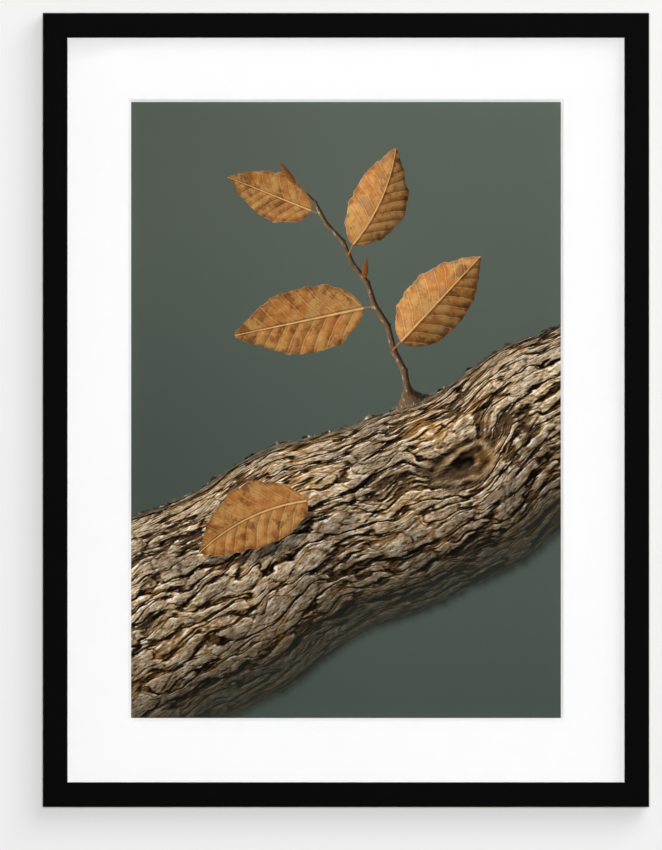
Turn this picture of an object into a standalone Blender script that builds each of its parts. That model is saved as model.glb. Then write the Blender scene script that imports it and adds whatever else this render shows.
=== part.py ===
"""A framed and mounted print: a black wooden box moulding in four mitred rails, with picture glass, a white
window mount, the print, an undermount and a backing board held in its rebate, and a sawtooth hanger and four
pads on its back.

The frame hangs upright. X runs to the viewer's right, +Y into the wall and +Z up. The origin is where the wall
nail leaves the wall, under the middle notch of the hanger; the wall is the plane Y = 0. Sizes are in metres.
"""

import math

import bmesh
import bpy
from mathutils import Matrix

# Outside size of the frame and its moulding
FRAME_WIDTH = 0.494
FRAME_HEIGHT = 0.647
FACE = 0.020
MOULDING_DEPTH = 0.022
LIP_DEPTH = 0.007
REBATE_WIDTH = 0.006
FRONT_EDGE_RADIUS = 0.0006
BACK_EDGE_RADIUS = 0.0004
EDGE_STEPS = 4

# Clearances between pieces that touch
SEAT_GAP = 0.0003
MITRE_GAP = 0.0003
PANEL_CLEARANCE = 0.001

# The sheets in the rebate, front to back
GLASS_THICKNESS = 0.002
MOUNT_THICKNESS = 0.0022
PRINT_THICKNESS = 0.0003
UNDERMOUNT_THICKNESS = 0.0014
BACKING_THICKNESS = 0.0025
MOUNT_SIDE_MARGIN = 0.0495
MOUNT_END_MARGIN = 0.050
PRINT_BORDER = 0.015

# Wall pads, which set how far the moulding stands off the wall
PAD_THICKNESS = 0.0027
PAD_RADIUS = 0.005
PAD_EDGE_RADIUS = 0.0006
PAD_INSET = 0.030
WALL_GAP = PAD_THICKNESS + SEAT_GAP

# Retaining tabs
TAB_THICKNESS = 0.0005
TAB_HEAD_WIDTH = 0.009
TAB_HEAD_LENGTH = 0.0115
TAB_TAIL_WIDTH = 0.006
TAB_TAIL_LENGTH = 0.007
TAB_POINT_LENGTH = 0.0025
TAB_TIP_STEPS = 10
TABS_PER_LONG_RAIL = 5
TABS_PER_SHORT_RAIL = 3
LONG_TAB_PITCH = 0.125
SHORT_TAB_PITCH = 0.150

# Steel V wedges that pull the mitres together, driven in from the back
WEDGE_INSET = 0.0052
WEDGE_LEG = 0.0070
WEDGE_THICKNESS = 0.0006
WEDGE_DEPTH = 0.010
WEDGE_RECESS = 0.0001

# Sawtooth hanger and its nails
HANGER_LENGTH = 0.048
HANGER_HEIGHT = 0.009
HANGER_THICKNESS = 0.0009
HANGER_TOP_MARGIN = 0.0025
HANGER_RISE = 0.0015
HANGER_FLAT_END = 0.008
HANGER_JOGGLE = 0.0025
NOTCH_COUNT = 7
NOTCH_PITCH = 0.0036
NOTCH_DEPTH = 0.0022
NOTCH_WIDTH = 0.0030
HANGER_HOLE_RADIUS = 0.0012
NAIL_HEAD_RADIUS = 0.0022
NAIL_HEAD_HEIGHT = 0.0008
NAIL_DOME_RADIUS = 0.0015
NAIL_RADIUS = 0.0008
NAIL_LENGTH = 0.011
NAIL_POINT_LENGTH = 0.002
ROUND_STEPS = 24
SMOOTH_ANGLE = math.radians(40)
CUT_PAST = 0.002

# Derived places
HANGER_DROP = HANGER_TOP_MARGIN + HANGER_HEIGHT - NOTCH_DEPTH
FRAME_CENTRE_Z = HANGER_DROP - FRAME_HEIGHT / 2
BACK_Y = -WALL_GAP
FRONT_Y = BACK_Y - MOULDING_DEPTH
SHELF_Y = FRONT_Y + LIP_DEPTH
SIGHT_WIDTH = FRAME_WIDTH - 2 * FACE
SIGHT_HEIGHT = FRAME_HEIGHT - 2 * FACE
PANEL_WIDTH = SIGHT_WIDTH + 2 * (REBATE_WIDTH - PANEL_CLEARANCE)
PANEL_HEIGHT = SIGHT_HEIGHT + 2 * (REBATE_WIDTH - PANEL_CLEARANCE)
WINDOW_WIDTH = SIGHT_WIDTH - 2 * MOUNT_SIDE_MARGIN
WINDOW_HEIGHT = SIGHT_HEIGHT - 2 * MOUNT_END_MARGIN
GLASS_Y = SHELF_Y + SEAT_GAP
MOUNT_Y = GLASS_Y + GLASS_THICKNESS + SEAT_GAP
PRINT_Y = MOUNT_Y + MOUNT_THICKNESS + SEAT_GAP
UNDERMOUNT_Y = PRINT_Y + PRINT_THICKNESS + SEAT_GAP
BACKING_Y = UNDERMOUNT_Y + UNDERMOUNT_THICKNESS + SEAT_GAP
TAB_Y = BACKING_Y + BACKING_THICKNESS + SEAT_GAP
SOLID_RAIL_WIDTH = FACE - REBATE_WIDTH

# Each side of the frame: its name, the turn about Y that brings the top rail there, its length and its distance
# from the middle
SIDES = (
    ("top", 0, FRAME_WIDTH, FRAME_HEIGHT / 2),
    ("right", 90, FRAME_HEIGHT, FRAME_WIDTH / 2),
    ("bottom", 180, FRAME_WIDTH, FRAME_HEIGHT / 2),
    ("left", 270, FRAME_HEIGHT, FRAME_WIDTH / 2),
)


def clear_scene():
    for old in list(bpy.data.objects):
        bpy.data.objects.remove(old)


def make_material(name, colour, roughness, metallic=0.0, transmission=0.0):
    material = bpy.data.materials.new(name)
    material.use_nodes = True
    shader = material.node_tree.nodes["Principled BSDF"]
    shader.inputs["Base Color"].default_value = (*colour, 1.0)
    shader.inputs["Roughness"].default_value = roughness
    shader.inputs["Metallic"].default_value = metallic
    shader.inputs["Transmission Weight"].default_value = transmission
    return material


def add_object(name, bm, material=None, matrix=None):
    """Turns a bmesh into an object with its normals facing out."""
    bmesh.ops.recalc_face_normals(bm, faces=bm.faces)
    mesh = bpy.data.meshes.new(name)
    bm.to_mesh(mesh)
    bm.free()
    if material:
        mesh.materials.append(material)
    made = bpy.data.objects.new(name, mesh)
    if matrix:
        made.matrix_world = matrix
    bpy.context.scene.collection.objects.link(made)
    return made


def prism(outline, low_y, high_y):
    """A flat outline of (x, z) points, extruded along Y."""
    bm = bmesh.new()
    front = [bm.verts.new((x, low_y, z)) for x, z in outline]
    back = [bm.verts.new((x, high_y, z)) for x, z in outline]
    bm.faces.new(front)
    bm.faces.new(back)
    for i in range(len(outline)):
        j = (i + 1) % len(outline)
        bm.faces.new((front[i], front[j], back[j], back[i]))
    return bm


def rectangle(width, height):
    return [
        (-width / 2, -height / 2),
        (width / 2, -height / 2),
        (width / 2, height / 2),
        (-width / 2, height / 2),
    ]


def turned(profile):
    """A profile of (radius, y) points, first and last on the axis, turned about the Y axis."""
    bm = bmesh.new()
    first = bm.verts.new((0, profile[0][1], 0))
    last = bm.verts.new((0, profile[-1][1], 0))
    angles = [2 * math.pi * i / ROUND_STEPS for i in range(ROUND_STEPS)]
    rings = [
        [bm.verts.new((r * math.cos(a), y, r * math.sin(a))) for a in angles]
        for r, y in profile[1:-1]
    ]
    for i in range(ROUND_STEPS):
        j = (i + 1) % ROUND_STEPS
        bm.faces.new((first, rings[0][i], rings[0][j]))
        bm.faces.new((last, rings[-1][i], rings[-1][j]))
        for ring, following in zip(rings, rings[1:]):
            bm.faces.new((ring[i], ring[j], following[j], following[i]))
    return bm


def arc(centre, radius, start, end, steps):
    """Points on a circle, from angle start to angle end in degrees."""
    turns = (start + (end - start) * i / steps for i in range(steps + 1))
    return [
        (
            centre[0] + radius * math.cos(math.radians(t)),
            centre[1] + radius * math.sin(math.radians(t)),
        )
        for t in turns
    ]


def rail_section():
    """The moulding's cross-section as (distance in from the outer edge, y) points."""
    front, back = FRONT_EDGE_RADIUS, BACK_EDGE_RADIUS
    return [
        *arc((front, FRONT_Y + front), front, 180, 270, EDGE_STEPS),
        *arc((FACE - front, FRONT_Y + front), front, 270, 360, EDGE_STEPS),
        (FACE, SHELF_Y),
        (SOLID_RAIL_WIDTH, SHELF_Y),
        (SOLID_RAIL_WIDTH, BACK_Y),
        *arc((back, BACK_Y - back), back, 90, 180, EDGE_STEPS),
    ]


def side_matrix(turn):
    return Matrix.Translation((0, 0, FRAME_CENTRE_Z)) @ Matrix.Rotation(
        math.radians(turn), 4, "Y"
    )


def make_rail(name, turn, length, reach, material):
    """One mitred length of moulding, modelled as the top rail and turned to its side."""
    mitre_setback = MITRE_GAP / 2 * math.sqrt(2)
    bm = bmesh.new()
    ends = [[], []]
    for inward, y in rail_section():
        half = length / 2 - inward - mitre_setback
        for end, side in zip(ends, (-1, 1)):
            end.append(bm.verts.new((side * half, y, reach - inward)))
    bm.faces.new(ends[0])
    bm.faces.new(ends[1])
    for i in range(len(ends[0])):
        j = (i + 1) % len(ends[0])
        bm.faces.new((ends[0][i], ends[0][j], ends[1][j], ends[1][i]))
    return add_object(name, bm, material, side_matrix(turn))


def cut(target, cutter):
    """Takes cutter's shape out of target, and keeps cutter out of the part."""
    cutter.hide_render = True
    cutter.display_type = "WIRE"
    boolean = target.modifiers.new("cut_" + cutter.name, "BOOLEAN")
    boolean.operation = "DIFFERENCE"
    boolean.solver = "EXACT"
    boolean.object = cutter


def make_sheet(name, width, height, front_y, thickness, material):
    bm = prism(rectangle(width, height), front_y, front_y + thickness)
    return add_object(name, bm, material, Matrix.Translation((0, 0, FRAME_CENTRE_Z)))


def make_window_mount(material):
    """A board with a window, cut at 45 degrees so that its core shows as a narrow slope down to the print."""
    front_y, back_y = MOUNT_Y, MOUNT_Y + MOUNT_THICKNESS
    loops = (
        (PANEL_WIDTH, PANEL_HEIGHT, front_y),
        (WINDOW_WIDTH, WINDOW_HEIGHT, front_y),
        (
            WINDOW_WIDTH - 2 * MOUNT_THICKNESS,
            WINDOW_HEIGHT - 2 * MOUNT_THICKNESS,
            back_y,
        ),
        (PANEL_WIDTH, PANEL_HEIGHT, back_y),
    )
    bm = bmesh.new()
    rings = [
        [bm.verts.new((x, y, z)) for x, z in rectangle(width, height)]
        for width, height, y in loops
    ]
    for ring, following in zip(rings, rings[1:] + rings[:1]):
        for i in range(4):
            j = (i + 1) % 4
            bm.faces.new((ring[i], ring[j], following[j], following[i]))
    return add_object(
        "window_mount", bm, material, Matrix.Translation((0, 0, FRAME_CENTRE_Z))
    )


def tab_outline():
    """A retaining tab seen from behind, its round head towards -Z and its pointed tail towards +Z, with the
    rebate's wall at z = 0."""
    head, tail = TAB_HEAD_WIDTH / 2, TAB_TAIL_WIDTH / 2
    shoulder = -SEAT_GAP
    return [
        (tail, shoulder),
        (tail, TAB_TAIL_LENGTH - TAB_POINT_LENGTH),
        (0, TAB_TAIL_LENGTH),
        (-tail, TAB_TAIL_LENGTH - TAB_POINT_LENGTH),
        (-tail, shoulder),
        (-head, shoulder),
        *arc((0, head - TAB_HEAD_LENGTH), head, 180, 360, TAB_TIP_STEPS),
        (head, shoulder),
    ]


def make_tabs(rail, side, turn, reach, count, pitch, material):
    """The retaining tabs of one rail, with the kerfs that their tails are driven into."""
    wall = reach - SOLID_RAIL_WIDTH
    kerf = rectangle(
        TAB_TAIL_WIDTH + 2 * SEAT_GAP, 2 * (TAB_TAIL_LENGTH + SEAT_GAP)
    )
    for i in range(count):
        along = (i - (count - 1) / 2) * pitch
        place = side_matrix(turn) @ Matrix.Translation((along, 0, wall))
        name = f"retaining_tab_{side}_{i + 1}"
        bm = prism(tab_outline(), TAB_Y, TAB_Y + TAB_THICKNESS)
        add_object(name, bm, material, place)
        bm = prism(kerf, TAB_Y - SEAT_GAP, TAB_Y + TAB_THICKNESS + SEAT_GAP)
        cut(rail, add_object("kerf_" + name, bm, None, place))


def wedge_outline(grow):
    """A V of sheet steel with its point at the origin and one leg along +X, the other along -Z; grow thickens
    it on every side."""
    thick = WEDGE_THICKNESS + grow
    leg = WEDGE_LEG + grow
    return [
        (-grow, grow),
        (leg, grow),
        (leg, -thick),
        (thick, -thick),
        (thick, -leg),
        (-grow, -leg),
    ]


def make_corner_wedge(name, turn, x, z, rails, material):
    """A V wedge across one mitre, and its kerf in the two rails."""
    place = (
        Matrix.Translation((0, 0, FRAME_CENTRE_Z))
        @ Matrix.Translation((x, 0, z))
        @ Matrix.Rotation(math.radians(turn), 4, "Y")
    )
    high_y = BACK_Y - WEDGE_RECESS
    bm = prism(wedge_outline(0), high_y - WEDGE_DEPTH, high_y)
    add_object(name, bm, material, place)
    bm = prism(
        wedge_outline(SEAT_GAP), high_y - WEDGE_DEPTH - SEAT_GAP, BACK_Y + CUT_PAST
    )
    kerf = add_object("kerf_" + name, bm, None, place)
    for rail in rails:
        cut(rail, kerf)


def hanger_path():
    """The hanger's wood-side face seen from above, as (x, y) points from its left end to its right end."""
    half = HANGER_LENGTH / 2
    low = BACK_Y + SEAT_GAP
    high = low + HANGER_RISE
    step_start = half - HANGER_FLAT_END
    step_end = step_start - HANGER_JOGGLE
    right = [(step_end, high), (step_start, low), (half, low)]
    return [(-x, y) for x, y in reversed(right)] + right


def make_hanger(material):
    """A pressed steel strip with its middle raised off the wood and notches along its lower edge."""
    path = hanger_path()
    lower = HANGER_DROP - HANGER_TOP_MARGIN - HANGER_HEIGHT
    upper = HANGER_DROP - HANGER_TOP_MARGIN
    bm = bmesh.new()
    rings = []
    for x, y in path:
        corners = (
            (x, y, lower),
            (x, y, upper),
            (x, y + HANGER_THICKNESS, upper),
            (x, y + HANGER_THICKNESS, lower),
        )
        rings.append([bm.verts.new(corner) for corner in corners])
    bm.faces.new(rings[0])
    bm.faces.new(rings[-1])
    for ring, following in zip(rings, rings[1:]):
        for i in range(4):
            j = (i + 1) % 4
            bm.faces.new((ring[i], ring[j], following[j], following[i]))
    hanger = add_object("sawtooth_hanger", bm, material)
    for i in range(NOTCH_COUNT):
        x = (i - (NOTCH_COUNT - 1) / 2) * NOTCH_PITCH
        flare = NOTCH_WIDTH / 2 * (NOTCH_DEPTH + CUT_PAST) / NOTCH_DEPTH
        notch = [(x, 0), (x - flare, lower - CUT_PAST), (x + flare, lower - CUT_PAST)]
        bm = prism(notch, BACK_Y, CUT_PAST)
        cut(hanger, add_object(f"notch_{i + 1}", bm))
    return hanger


def make_hanger_nail(name, x, hanger, rail, material):
    """A round-headed nail through one end of the hanger into the top rail, and the holes for it."""
    z = HANGER_DROP - HANGER_TOP_MARGIN - HANGER_HEIGHT / 2
    place = Matrix.Translation((x, 0, z))
    under_head = BACK_Y + SEAT_GAP + HANGER_THICKNESS + SEAT_GAP
    head_top = under_head + NAIL_HEAD_HEIGHT
    tip = under_head - NAIL_LENGTH
    profile = [
        (0, tip),
        (NAIL_RADIUS, tip + NAIL_POINT_LENGTH),
        (NAIL_RADIUS, under_head),
        (NAIL_HEAD_RADIUS, under_head),
        (NAIL_HEAD_RADIUS, under_head + NAIL_HEAD_HEIGHT / 2),
        (NAIL_DOME_RADIUS, head_top),
        (0, head_top),
    ]
    nail = add_object(name, turned(profile), material, place)
    nail.data.shade_smooth()
    nail.data.set_sharp_from_angle(angle=SMOOTH_ANGLE)
    radius = NAIL_RADIUS + SEAT_GAP
    bottom = tip - SEAT_GAP
    hole = [(0, bottom), (radius, bottom), (radius, CUT_PAST), (0, CUT_PAST)]
    cut(rail, add_object("pilot_" + name, turned(hole), None, place))
    radius = HANGER_HOLE_RADIUS
    hole = [(0, BACK_Y), (radius, BACK_Y), (radius, CUT_PAST), (0, CUT_PAST)]
    cut(hanger, add_object("hole_" + name, turned(hole), None, place))


def make_pad(name, x, z, material):
    """A round felt pad with a softened rear edge."""
    front, edge = BACK_Y + SEAT_GAP, PAD_EDGE_RADIUS
    rear = front + PAD_THICKNESS
    rounding = arc((PAD_RADIUS - edge, rear - edge), edge, 0, 90, EDGE_STEPS)
    profile = [(0, front), (PAD_RADIUS, front), *rounding, (0, rear)]
    pad = add_object(name, turned(profile), material, Matrix.Translation((x, 0, z)))
    pad.data.shade_smooth()
    pad.data.set_sharp_from_angle(angle=SMOOTH_ANGLE)


def main():
    clear_scene()
    black_wood = make_material("black_wood", (0.006, 0.006, 0.006), 0.45)
    glass = make_material("picture_glass", (1.0, 1.0, 1.0), 0.02, transmission=1.0)
    mount_board = make_material("white_mount_board", (0.90, 0.90, 0.89), 0.85)
    paper = make_material("printed_paper", (0.10, 0.12, 0.10), 0.45)
    board = make_material("undermount_board", (0.86, 0.85, 0.82), 0.9)
    fibreboard = make_material("fibreboard", (0.33, 0.20, 0.11), 0.8)
    steel = make_material("zinc_plated_steel", (0.62, 0.62, 0.60), 0.35, metallic=1.0)
    brass = make_material("brassed_steel", (0.72, 0.55, 0.28), 0.3, metallic=1.0)
    felt = make_material("grey_felt", (0.12, 0.12, 0.125), 1.0)

    rails = {
        side: make_rail("rail_" + side, turn, length, reach, black_wood)
        for side, turn, length, reach in SIDES
    }
    make_sheet("glazing", PANEL_WIDTH, PANEL_HEIGHT, GLASS_Y, GLASS_THICKNESS, glass)
    make_window_mount(mount_board)
    make_sheet(
        "print",
        WINDOW_WIDTH + 2 * PRINT_BORDER,
        WINDOW_HEIGHT + 2 * PRINT_BORDER,
        PRINT_Y,
        PRINT_THICKNESS,
        paper,
    )
    make_sheet(
        "undermount",
        PANEL_WIDTH,
        PANEL_HEIGHT,
        UNDERMOUNT_Y,
        UNDERMOUNT_THICKNESS,
        board,
    )
    make_sheet(
        "backing_board",
        PANEL_WIDTH,
        PANEL_HEIGHT,
        BACKING_Y,
        BACKING_THICKNESS,
        fibreboard,
    )

    for side, turn, length, reach in SIDES:
        long_rail = length == FRAME_HEIGHT
        count = TABS_PER_LONG_RAIL if long_rail else TABS_PER_SHORT_RAIL
        pitch = LONG_TAB_PITCH if long_rail else SHORT_TAB_PITCH
        make_tabs(rails[side], side, turn, reach, count, pitch, steel)

    corner_x = FRAME_WIDTH / 2 - WEDGE_INSET
    corner_z = FRAME_HEIGHT / 2 - WEDGE_INSET
    corners = (
        ("top", "left", 0, -corner_x, corner_z),
        ("top", "right", 90, corner_x, corner_z),
        ("bottom", "right", 180, corner_x, -corner_z),
        ("bottom", "left", 270, -corner_x, -corner_z),
    )
    for level, side, turn, x, z in corners:
        name = f"corner_wedge_{level}_{side}"
        make_corner_wedge(name, turn, x, z, (rails[level], rails[side]), steel)

    hanger = make_hanger(brass)
    nail_x = HANGER_LENGTH / 2 - HANGER_FLAT_END / 2
    for side, x in (("left", -nail_x), ("right", nail_x)):
        make_hanger_nail("hanger_nail_" + side, x, hanger, rails["top"], brass)

    pad_x = FRAME_WIDTH / 2 - PAD_INSET
    pad_z = FRAME_HEIGHT / 2 - SOLID_RAIL_WIDTH / 2
    for level, z in (("top", pad_z), ("bottom", -pad_z)):
        for side, x in (("left", -pad_x), ("right", pad_x)):
            make_pad(f"wall_pad_{level}_{side}", x, FRAME_CENTRE_Z + z, felt)


main()
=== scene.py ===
"""Looks for the framed print: its finishes, its picture, and the fine pieces on its back.

The frame hangs against a pale wall, in the part's own axes: X to the viewer's right, +Y into the wall, +Z up.
Sizes are in metres, except in the picture, which is laid out in centimetres from its middle.
"""

import math

import bmesh
import bpy
from mathutils import Matrix, Vector


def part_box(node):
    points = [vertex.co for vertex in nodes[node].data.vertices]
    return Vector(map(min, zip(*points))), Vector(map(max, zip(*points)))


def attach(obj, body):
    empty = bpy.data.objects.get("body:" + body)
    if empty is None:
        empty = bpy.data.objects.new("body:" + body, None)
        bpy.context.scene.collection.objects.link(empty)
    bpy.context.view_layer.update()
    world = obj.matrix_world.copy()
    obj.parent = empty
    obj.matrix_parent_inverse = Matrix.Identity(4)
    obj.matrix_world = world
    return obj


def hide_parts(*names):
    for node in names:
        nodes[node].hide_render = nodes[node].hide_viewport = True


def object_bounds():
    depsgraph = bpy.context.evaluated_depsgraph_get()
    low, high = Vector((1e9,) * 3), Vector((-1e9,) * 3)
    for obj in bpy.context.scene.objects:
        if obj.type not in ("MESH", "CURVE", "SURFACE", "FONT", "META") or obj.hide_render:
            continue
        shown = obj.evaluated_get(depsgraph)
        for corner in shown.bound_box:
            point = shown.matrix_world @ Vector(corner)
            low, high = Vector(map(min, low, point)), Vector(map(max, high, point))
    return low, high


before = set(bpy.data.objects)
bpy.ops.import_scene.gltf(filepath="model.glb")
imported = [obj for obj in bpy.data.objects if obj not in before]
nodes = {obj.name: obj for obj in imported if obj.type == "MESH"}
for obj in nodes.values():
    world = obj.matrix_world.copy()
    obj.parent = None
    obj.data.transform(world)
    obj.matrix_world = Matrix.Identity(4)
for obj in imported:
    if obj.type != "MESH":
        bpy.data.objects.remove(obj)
cad_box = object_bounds()


# ---------------------------------------------------------------- numbers and colours that a shader works out


def srgb(red, green, blue):
    """A colour given in the 0 to 255 of a screen, as the shader's linear light."""

    def linear(level):
        share = level / 255
        return share / 12.92 if share <= 0.04045 else ((share + 0.055) / 1.055) ** 2.4

    return (linear(red), linear(green), linear(blue), 1.0)


class Num:
    """A number, vector or colour that a shader works out at each point. Arithmetic on it adds Math nodes."""

    def __init__(self, socket):
        self.socket = socket

    def __add__(self, other):
        return calc("ADD", self, other)

    def __sub__(self, other):
        return calc("SUBTRACT", self, other)

    def __mul__(self, other):
        return calc("MULTIPLY", self, other)

    def __truediv__(self, other):
        return calc("DIVIDE", self, other)

    def __radd__(self, other):
        return calc("ADD", other, self)

    def __rsub__(self, other):
        return calc("SUBTRACT", other, self)

    def __rmul__(self, other):
        return calc("MULTIPLY", other, self)

    def __neg__(self):
        return calc("MULTIPLY", self, -1.0)


def tree_of(values):
    """The node tree that the first worked-out value lives in."""
    return next(v.socket.id_data for v in values if isinstance(v, Num))


def put(tree, slot, value):
    """Gives one input a worked-out value or a plain one."""
    if isinstance(value, Num):
        tree.links.new(value.socket, slot)
    else:
        slot.default_value = value


def calc(operation, *values):
    """The result of one Math node."""
    tree = tree_of(values)
    node = tree.nodes.new("ShaderNodeMath")
    node.operation = operation
    for slot, value in zip(node.inputs, values):
        put(tree, slot, value)
    return Num(node.outputs[0])


def low(a, b):
    return calc("MINIMUM", a, b)


def high(a, b):
    return calc("MAXIMUM", a, b)


def magnitude(a):
    return calc("ABSOLUTE", a)


def fraction(a):
    return calc("FRACT", a)


def power(a, exponent):
    return calc("POWER", high(a, 0.0), exponent)


def root(a):
    return calc("SQRT", high(a, 0.0))


def step(start, end, value):
    """0 up to start, 1 from end, and a smooth rise or fall between."""
    tree = tree_of((value,))
    node = tree.nodes.new("ShaderNodeMapRange")
    node.interpolation_type = "SMOOTHSTEP"
    put(tree, node.inputs["Value"], value)
    put(tree, node.inputs["From Min"], start)
    put(tree, node.inputs["From Max"], end)
    return Num(node.outputs["Result"])


def clamped(value, lowest, highest):
    """The value, kept from lowest to highest."""
    tree = tree_of((value,))
    node = tree.nodes.new("ShaderNodeClamp")
    for slot, setting in zip(node.inputs, (value, lowest, highest)):
        put(tree, slot, setting)
    return Num(node.outputs[0])


def between(a, b, share):
    """The number that lies a share of the way from a to b. The Mix node takes numbers at 2 and 3."""
    tree = tree_of((a, b, share))
    node = tree.nodes.new("ShaderNodeMix")
    for slot, value in zip((0, 2, 3), (share, a, b)):
        put(tree, node.inputs[slot], value)
    return Num(node.outputs[0])


def point(x, y, z=0.0):
    """A vector from three numbers, worked out or plain."""
    tree = tree_of((x, y, z))
    node = tree.nodes.new("ShaderNodeCombineXYZ")
    for slot, value in zip(node.inputs, (x, y, z)):
        put(tree, slot, value)
    return Num(node.outputs[0])


def split(vector):
    """The three numbers of a vector."""
    tree = tree_of((vector,))
    node = tree.nodes.new("ShaderNodeSeparateXYZ")
    put(tree, node.inputs[0], vector)
    return [Num(axis) for axis in node.outputs]


def noise(place, scale=1.0, detail=2.0, roughness=0.5, distortion=0.0, flat=False):
    """Smooth random values from 0 to 1, scale of them to one unit of place.

    A flat one reads x and y alone.
    """
    tree = tree_of((place,))
    node = tree.nodes.new("ShaderNodeTexNoise")
    node.noise_dimensions = "2D" if flat else "3D"
    put(tree, node.inputs["Vector"], place)
    node.inputs["Scale"].default_value = scale
    node.inputs["Detail"].default_value = detail
    node.inputs["Roughness"].default_value = roughness
    node.inputs["Distortion"].default_value = distortion
    return Num(node.outputs["Fac"])


def cells(place, scale=1.0, feature="F1", flat=False):
    """A pattern of random cells, scale of them to one unit of place. A flat one reads x and y alone."""
    tree = tree_of((place,))
    node = tree.nodes.new("ShaderNodeTexVoronoi")
    node.voronoi_dimensions = "2D" if flat else "3D"
    node.feature = feature
    put(tree, node.inputs["Vector"], place)
    node.inputs["Scale"].default_value = scale
    return Num(node.outputs["Distance"])


def mix(under, over, share):
    """The colour that lies a share of the way from under to over. The Mix node takes colours at 6 and 7."""
    tree = tree_of((under, over, share))
    node = tree.nodes.new("ShaderNodeMix")
    node.data_type = "RGBA"
    put(tree, node.inputs["Factor"], share)
    put(tree, node.inputs[6], under)
    put(tree, node.inputs[7], over)
    return Num(node.outputs[2])


def tint(colour, light):
    """A colour made brighter or darker by a number."""
    tree = tree_of((colour, light))
    node = tree.nodes.new("ShaderNodeVectorMath")
    node.operation = "SCALE"
    put(tree, node.inputs[0], colour if isinstance(colour, Num) else colour[:3])
    put(tree, node.inputs["Scale"], light)
    return Num(node.outputs[0])


class Finish:
    """One material: a Principled surface, with the place on the object that its patterns come from."""

    def __init__(self, name, **plain):
        self.material = bpy.data.materials.new(name)
        self.material.use_nodes = True
        self.tree = self.material.node_tree
        self.surface = self.tree.nodes["Principled BSDF"]
        self.set(**plain)
        self.place = Num(self.tree.nodes.new("ShaderNodeTexCoord").outputs["Object"])
        self.x, self.y, self.z = split(self.place)

    def set(self, **values):
        """Sets inputs of the surface: Base_Color is Base Color, and so on."""
        for name, value in values.items():
            put(self.tree, self.surface.inputs[name.replace("_", " ")], value)

    def bump(self, height, depth):
        """Raises the surface by height, from 0 to 1, times depth in metres."""
        node = self.tree.nodes.new("ShaderNodeBump")
        node.inputs["Distance"].default_value = depth
        put(self.tree, node.inputs["Height"], height)
        self.tree.links.new(node.outputs["Normal"], self.surface.inputs["Normal"])

    def facing(self, axis):
        """The surface's own direction along one axis, from -1 to 1."""
        return split(Num(self.tree.nodes.new("ShaderNodeNewGeometry").outputs["Normal"]))[axis]


# ---------------------------------------------------------------- the frame's own measures

MILLIMETRE = 0.001
LIP_HEIGHT = 7.0 * MILLIMETRE

outer_low, outer_high = cad_box
FRONT_Y = outer_low[1]
FRAME_WIDTH = outer_high[0] - outer_low[0]
FRAME_HEIGHT = outer_high[2] - outer_low[2]
CENTRE_Z = (outer_low[2] + outer_high[2]) / 2
BACK_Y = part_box("rail_top")[1].y
SHELF_Y = FRONT_Y + LIP_HEIGHT


# ---------------------------------------------------------------- the picture on the print
# Laid out in centimetres right of and above the middle of the print.
# Angles are in degrees, anticlockwise from the right.

# Where the light comes from, and its direction along and across the branch.
LIGHT_FROM = 135
LIGHT_ALONG, LIGHT_ACROSS = -0.30, 0.95
PRINTED_HALF_WIDTH = 17.9
PRINTED_HALF_HEIGHT = 25.6
PRINTED_EDGE = 0.01

BRANCH_MIDDLE = (1.5, -9.5)
BRANCH_TILT = 27
BRANCH_HALF = 8.4
BARK_NEAR, BARK_FAR = 0.09, 0.50
KNOT = (9.6, 1.6)

TWIG = dict(base=(5.2, 1.2), turn=118, length=19.5, thick=0.30, bend=1.1)
TWIG_KINKS = 5.0
TWIG_KINK_SIZE = 0.6
TWIG_LEAVES = (
    dict(at=0.20, turn=47, length=9.6, width=4.9, bend=-0.7),
    dict(at=0.40, turn=192, length=10.8, width=5.3, bend=-0.9),
    dict(at=0.64, turn=66, length=8.6, width=4.4, bend=0.6),
    dict(at=0.84, turn=158, length=7.4, width=3.7, bend=-0.5),
)
FALLEN_LEAF = dict(base=(-3.2, -7.4), turn=206, length=9.8, width=5.2, bend=0.8)
LEAF_PLUMP, LEAF_TAPER = 0.62, 0.88
LEAF_PEAK = 0.708
SIDE_VEINS = 9.5
STALK = 1.0
STALK_HALF = 0.07
BUD_WIDTH = 0.50

GROUND_LOW, GROUND_HIGH = srgb(74, 84, 76), srgb(88, 96, 87)
BARK_CRACK, BARK_HOLLOW, BARK_RIDGE = srgb(22, 14, 8), srgb(92, 68, 42), srgb(158, 132, 98)
BARK_DUST, BARK_OCHRE, BARK_DAMP = srgb(212, 197, 172), srgb(168, 122, 58), srgb(92, 74, 54)
BARK_GLINT, BARK_BOUNCE = srgb(240, 233, 224), srgb(78, 88, 78)
TWIG_DARK, TWIG_PALE, TWIG_FLECK = srgb(50, 34, 22), srgb(150, 120, 90), srgb(214, 198, 176)
BUD_PALE, BUD_BROWN = srgb(176, 112, 56), srgb(112, 62, 30)
LEAF_PALE, LEAF_BROWN, LEAF_SPOT, LEAF_MARGIN = (
    srgb(218, 165, 97), srgb(172, 109, 53), srgb(112, 62, 28), srgb(112, 62, 30)
)
LEAF_SHEEN, LEAF_VEIN, LEAF_SHADE, LEAF_RIDGE = (
    srgb(252, 222, 172), srgb(236, 188, 124), srgb(66, 36, 16), srgb(228, 180, 116)
)
LEAF_RIM, LEAF_STALK = srgb(250, 222, 176), srgb(190, 134, 82)
PAPER_PALE, PAPER_DULL = srgb(246, 246, 243), srgb(238, 238, 234)


def picture_noise(x, z, seed, **settings):
    """Smooth random values over the picture. Each seed gives another pattern."""
    return noise(point(x + seed * 7.0, z + seed * 3.0), flat=True, **settings)


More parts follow.
